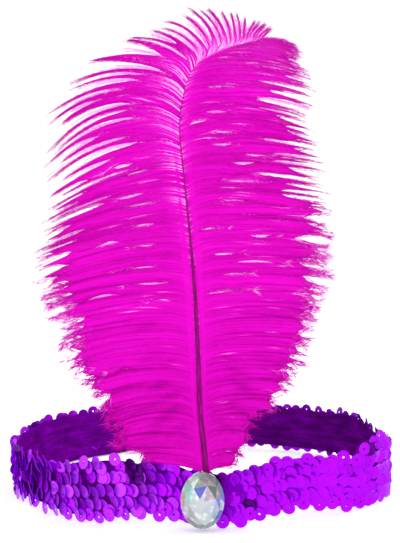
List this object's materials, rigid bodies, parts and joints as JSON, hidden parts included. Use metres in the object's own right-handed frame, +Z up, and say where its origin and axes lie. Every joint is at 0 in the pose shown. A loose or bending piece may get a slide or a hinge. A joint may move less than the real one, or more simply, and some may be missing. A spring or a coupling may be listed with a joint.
{
  "type": "flapper feather headband",
  "caption": "Sequinned elastic head loop with an upright ostrich plume held at the front behind a faceted oval stone.",
  "frame": {"origin": "on the surface that the headband stands on, under the middle of its whole extent", "axes": "+Z up along the plume and through the head opening, -Y towards the front with the stone, +X to the right as seen from the front"},
  "size_m": [0.168, 0.1726, 0.1924],
  "materials": {
    "elastic": "matte woven elastic",
    "sequins": "metallised gloss",
    "pad": "matte felt",
    "quill": "satin, dyed",
    "barbs": "soft dyed feather",
    "stone": "cut and polished, iridescent"
  },
  "bodies": {
    "root": {"elastic_band": "elastic", "sequin_row_1": "sequins", "sequin_row_2": "sequins", "sequin_row_3": "sequins", "sequin_row_4": "sequins", "sequin_row_5": "sequins", "mounting_pad": "pad", "feather_shaft": "quill", "plume": "barbs", "stone": "stone"}
  },
  "joints": []
}
